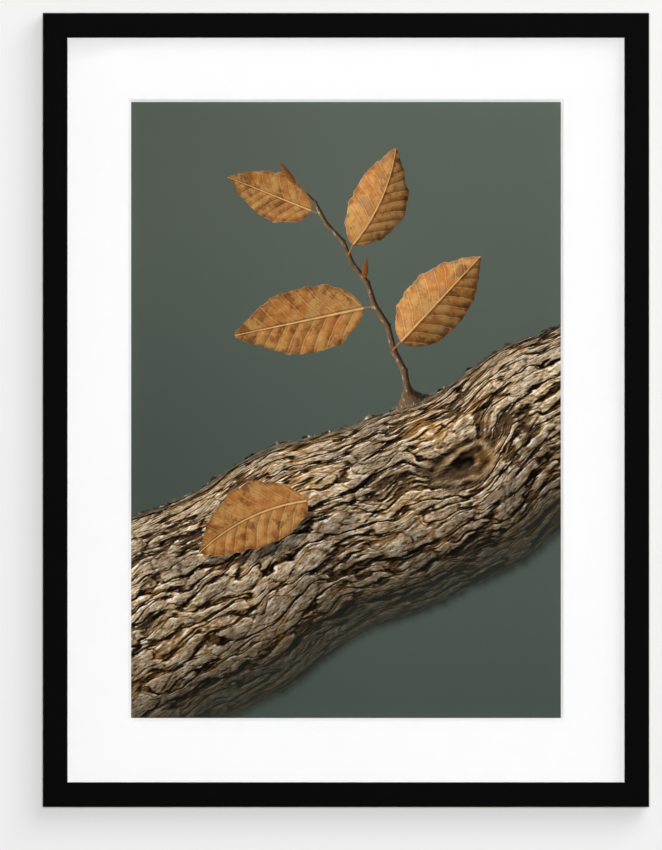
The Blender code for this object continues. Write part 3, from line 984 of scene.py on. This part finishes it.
def make_hanger(node, material):
    """The pressed strip, its middle joggled off the wood in smooth bends."""
    low_corner, high_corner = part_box(node)
    middle = (low_corner + high_corner) / 2
    width, height = high_corner.x - low_corner.x, high_corner.z - low_corner.z
    nail_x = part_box("hanger_nail_right")[0].x + NAIL_HEAD
    outline = hanger_outline(width - 2 * HANGER_EDGE, height - 2 * HANGER_EDGE)
    holes = [arc((x, 0), HANGER_HOLE, **HOLE_TURN) for x in (-nail_x, nail_x)]
    bm = flat_plate([outline, *holes], HANGER_THICKNESS, HANGER_EDGE)
    bend_start, bend_end = HANGER_BEND
    for side in (-1, 1):
        for i in range(BEND_CUTS):
            x = side * (bend_start + (bend_end - bend_start) * i / (BEND_CUTS - 1))
            everything = bm.verts[:] + bm.edges[:] + bm.faces[:]
            bmesh.ops.bisect_plane(bm, geom=everything, dist=HAIR, plane_co=(x, 0, 0), plane_no=(1, 0, 0))
    wood_y = low_corner.y + HANGER_THICKNESS / 2
    for vert in bm.verts:
        x, z, out = vert.co
        bend = smooth((bend_end - abs(x)) / (bend_end - bend_start))
        vert.co = (x, wood_y + out + bend * HANGER_RISE, middle.z + z)
    add_piece("brass_hanger", bm, material, "brassed_steel", node)


def turned(profile, middle_x, middle_z):
    """A profile of (radius, y) points, first and last on the axis, turned about a line along Y."""
    bm = bmesh.new()
    ends = [bm.verts.new((middle_x, y, middle_z)) for _, y in (profile[0], profile[-1])]
    angles = [2 * math.pi * i / ROUND_STEPS for i in range(ROUND_STEPS)]
    rings = [
        [bm.verts.new((middle_x + r * math.cos(a), y, middle_z + r * math.sin(a))) for a in angles]
        for r, y in profile[1:-1]
    ]
    bridge(bm, rings)
    for end, ring in zip(ends, (rings[0], rings[-1])):
        for i in range(ROUND_STEPS):
            bm.faces.new((end, ring[i], ring[(i + 1) % ROUND_STEPS]))
    return bm


def make_nail(node, material):
    """A nail with a domed head."""
    low_corner, high_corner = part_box(node)
    middle = (low_corner + high_corner) / 2
    tip, top = low_corner.y, high_corner.y
    under_head = top - NAIL_HEAD_HEIGHT
    dome_rise = NAIL_HEAD_HEIGHT - NAIL_RIM
    shares = [i / DOME_STEPS for i in range(DOME_STEPS - 1, 0, -1)]
    dome = [(out, math.sqrt(1 - out**2)) for out in shares]
    profile = [
        (0, tip),
        (NAIL_SHANK, tip + NAIL_POINT),
        (NAIL_SHANK, under_head),
        (NAIL_HEAD - NAIL_RIM_EDGE[0], under_head),
        (NAIL_HEAD, under_head + NAIL_RIM_EDGE[1]),
        (NAIL_HEAD, under_head + NAIL_RIM),
        *[(NAIL_HEAD * out, under_head + NAIL_RIM + dome_rise * rise) for out, rise in dome],
        (0, top),
    ]
    name = node.replace("hanger_nail", "domed_nail")
    add_piece(name, turned(profile, middle.x, middle.z), material, "brassed_steel", node)


def make_pad(node, material):
    """A felt pad with a soft, slightly uneven edge."""
    low_corner, high_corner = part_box(node)
    middle = (low_corner + high_corner) / 2
    radius = (high_corner.x - low_corner.x) / 2 - PAD_FRAY
    front, rear = low_corner.y, high_corner.y
    inner = [(radius * share, front) for share in PAD_FRONT_RINGS]
    sides = [(radius, front + (rear - PAD_EDGE - front) * i / PAD_ROWS) for i in range(PAD_ROWS + 1)]
    rounding = arc((radius - PAD_EDGE, rear - PAD_EDGE), PAD_EDGE, **PAD_EDGE_ARC)
    face = [(radius * share, rear) for share in PAD_REAR_RINGS]
    bm = turned([(0, front), *inner, *sides, *rounding, *face, (0, rear)], middle.x, middle.z)
    for vert in bm.verts:
        away = Vector((vert.co.x - middle.x, 0, vert.co.z - middle.z))
        depth = vert.co.y - front
        sway = math.sin(vert.co.x * PAD_WAVES[0] + depth * PAD_WAVES[1])
        sway *= math.sin(vert.co.z * PAD_WAVES[2] - depth * PAD_WAVES[3])
        vert.co += away.normalized() * (PAD_FRAY * sway * outer_third(away.length / radius))
        vert.co.y -= PAD_SINK * (0.5 + 0.5 * sway) * outer_third(depth / (rear - front))
    add_piece(node.replace("wall", "felt"), bm, material, "felt", node)


# ---------------------------------------------------------------- wall, floor, lights and camera

STAGE_SIZE = 30.0
WALL_Y = 0.4 * MILLIMETRE
WALL_DIM_FROM, WALL_DIM_TO, WALL_GLOW = 0.5, 7.0, 0.82
WALL_SHADE, WALL_SHADE_EDGE = 0.85, 1.5 * MILLIMETRE
FLOOR_DROP = 1.15
FLOOR_GLOW = 0.62
ROOM_CORNER = (8.0, 5.0)
ROOM_GLOW = (0.14, 0.62)
ROOM_FADE = (-1.8, 2.2)
LENS = 400.0
SENSOR = 36.0
# How much the camera sees at the frame's front, and where it stands from the frame's middle.
VIEW_HEIGHT = 0.6926
VIEW_ASIDE = -0.0122
VIEW_BELOW = 0.0122
ROOM_GLOW_TO_CAMERA = 0.85
ROOM_LIGHT_ON_MATT = 0.08
ROOM_LIGHT_ON_GLOSS = 0.004


def plain_sheet(name, corners, material, seen_by):
    """A four-cornered sheet of the stage, seen by one kind of ray alone, that lights nothing."""
    material.cycles.emission_sampling = "NONE"
    mesh = bpy.data.meshes.new(name)
    mesh.from_pydata(corners, [], [(0, 1, 2, 3)])
    mesh.materials.append(material)
    sheet = bpy.data.objects.new(name, mesh)
    bpy.context.scene.collection.objects.link(sheet)
    for ray in ("camera", "diffuse", "glossy", "transmission", "shadow"):
        setattr(sheet, "visible_" + ray, ray == seen_by)


def clear_from_behind(finish):
    """The finish's material, made clear from behind, so that its sheet hides nothing there."""
    tree = finish.tree
    clear = tree.nodes.new("ShaderNodeBsdfTransparent")
    sided = tree.nodes.new("ShaderNodeMixShader")
    side = tree.nodes.new("ShaderNodeNewGeometry")
    tree.links.new(side.outputs["Backfacing"], sided.inputs[0])
    tree.links.new(finish.surface.outputs[0], sided.inputs[1])
    tree.links.new(clear.outputs[0], sided.inputs[2])
    tree.links.new(sided.outputs[0], tree.nodes["Material Output"].inputs["Surface"])
    return finish.material


def make_wall(half, floor_z):
    """A pale wall that the frame hangs against, seen from its front alone.

    Its far parts, which the lights don't reach, glow as pale. Behind the frame it is dark, as a wall is in a
    frame's shade, because the lights that show the frame's back pass through it.
    """
    paint = Finish("wall_paint", Roughness=0.95, Specular_IOR_Level=0.0, Emission_Color=(1, 1, 1, 1))
    up = paint.z - CENTRE_Z
    from_middle = root(paint.x * paint.x + up * up)
    past_frame = high(magnitude(paint.x) - FRAME_WIDTH / 2, magnitude(up) - FRAME_HEIGHT / 2)
    # Painted shade: the wall's colour is darkened behind the frame, where a wall lies in the frame's shade.
    painted_shade_behind_frame = step(0.0, -WALL_SHADE_EDGE, past_frame)
    pale = mix(srgb(221, 221, 221), srgb(222, 222, 222), noise(paint.place, scale=3.0))
    paint.set(
        Base_Color=tint(pale, 1.0 - painted_shade_behind_frame * WALL_SHADE),
        Emission_Strength=step(WALL_DIM_FROM, WALL_DIM_TO, from_middle) * WALL_GLOW,
    )
    y = WALL_Y
    corners = [(-half, y, floor_z), (half, y, floor_z), (half, y, half), (-half, y, half)]
    plain_sheet("wall", corners, clear_from_behind(paint), "camera")


def make_stage():
    """The wall, a pale floor below, and a pale room behind that only the metals on the back reflect."""
    half = STAGE_SIZE / 2
    z = CENTRE_Z - FLOOR_DROP
    make_wall(half, z)
    lino = Finish("floor_paint", Roughness=0.9, Emission_Color=(1, 1, 1, 1), Emission_Strength=FLOOR_GLOW)
    lino.set(Base_Color=mix(srgb(122, 122, 121), srgb(118, 118, 117), noise(lino.place, scale=2.0)))
    corners = [(-half, -half, z), (half, -half, z), (half, half, z), (-half, half, z)]
    plain_sheet("floor", corners, clear_from_behind(lino), "camera")
    room = Finish("room_behind", Base_Color=(0, 0, 0, 1), Roughness=1.0, Emission_Color=(1, 1, 1, 1))
    room.set(Emission_Strength=between(*ROOM_GLOW, step(*ROOM_FADE, room.z - CENTRE_Z)))
    (x, y), low_z, high_z = ROOM_CORNER, CENTRE_Z - ROOM_CORNER[1], CENTRE_Z + ROOM_CORNER[1]
    corners = [(-x, y, low_z), (x, y, low_z), (x, y, high_z), (-x, y, high_z)]
    plain_sheet("room_behind", corners, room.material, "glossy")


def area_light(name, place, size, watts, seen_in_gloss=True):
    """A square soft light at a place, turned to the middle of the frame and itself out of sight."""
    lamp = bpy.data.lights.new(name, "AREA")
    lamp.energy = watts
    lamp.size = size
    light = bpy.data.objects.new(name, lamp)
    light.location = place
    aim = Vector((0, 0, CENTRE_Z)) - light.location
    light.rotation_euler = aim.to_track_quat("-Z", "Y").to_euler()
    light.visible_camera = False
    light.visible_transmission = False
    light.visible_glossy = seen_in_gloss
    bpy.context.scene.collection.objects.link(light)
    return light


def make_lights():
    """Soft lights before the frame and behind it, sheen lights at its sides and a dim even room."""
    area_light("front_fill", (0.0, -6.0, CENTRE_Z), 0.5, 301, seen_in_gloss=False)
    area_light("key", (1.5, -3.3, CENTRE_Z + 1.8), 2.8, 63, seen_in_gloss=False)
    area_light("side_key", (3.1, -2.5, CENTRE_Z + 3.1), 1.5, 23)
    area_light("back_fill", (-1.6, 5.0, CENTRE_Z + 1.8), 2.2, 150)
    area_light("back_key", (3.0, 3.0, CENTRE_Z + 2.4), 1.2, 60)
    for side, x in (("left", -3.4), ("right", 3.4)):
        sheen = area_light("sheen_" + side, (x, -0.6, CENTRE_Z + 0.5), 1.6, 22)
        sheen.visible_diffuse = False
    world = bpy.data.worlds.new("pale_room")
    bpy.context.scene.world = world
    world.use_nodes = True
    tree = world.node_tree
    seen = tree.nodes.new("ShaderNodeLightPath")
    to_camera = Num(seen.outputs["Is Camera Ray"])
    to_matt = Num(seen.outputs["Is Diffuse Ray"])
    background = tree.nodes["Background"]
    background.inputs["Color"].default_value = (1, 1, 1, 1)
    light = to_camera * ROOM_GLOW_TO_CAMERA + to_matt * ROOM_LIGHT_ON_MATT + ROOM_LIGHT_ON_GLOSS
    put(tree, background.inputs["Strength"], light)


def make_camera():
    """A long lens square to the wall, a little aside of and below the middle, as in the photograph."""
    lens = bpy.data.cameras.new("camera")
    lens.lens = LENS
    lens.sensor_width = SENSOR
    camera = bpy.data.objects.new("camera", lens)
    away = VIEW_HEIGHT * LENS / SENSOR
    camera.location = (VIEW_ASIDE, FRONT_Y - away, CENTRE_Z - VIEW_BELOW)
    camera.rotation_euler = (math.pi / 2, 0, 0)
    lens.clip_end = 100
    bpy.context.scene.collection.objects.link(camera)
    bpy.context.scene.camera = camera


# ---------------------------------------------------------------- putting it together

steel = plated_metal("zinc_plate", srgb(196, 198, 200), srgb(168, 170, 171), 0.30)
brass = plated_metal("brass_plate", srgb(226, 190, 120), srgb(196, 156, 88), 0.24)
felt = grey_felt()
upright_wood = lacquered_wood("lacquered_wood_upright", 2)
assign(lacquered_wood("lacquered_wood_across", 0), "rail_top", "rail_bottom")
assign(upright_wood, "rail_left", "rail_right")
assign(picture_glass(), "glazing")
assign(mount_board(), "window_mount")
assign(print_finish(), "print")
assign(plain_board(), "undermount")
assign(fibreboard(), "backing_board")
assign(steel, *[name for name in nodes if name.startswith("corner_wedge")])
nodes["glazing"].visible_shadow = False

for level, side_z in (("top", 1), ("bottom", -1)):
    for side, side_x in (("left", -1), ("right", 1)):
        make_mitre_glue(f"mitre_glue_{level}_{side}", side_x, side_z, upright_wood)
        make_pad(f"wall_pad_{level}_{side}", felt)
for node in [name for name in nodes if name.startswith("retaining_tab")]:
    make_tab(node, steel)
make_hanger("sawtooth_hanger", brass)
for side in ("left", "right"):
    make_nail("hanger_nail_" + side, brass)

make_stage()
make_lights()
make_camera()
bpy.context.scene.view_settings.view_transform = "Standard"
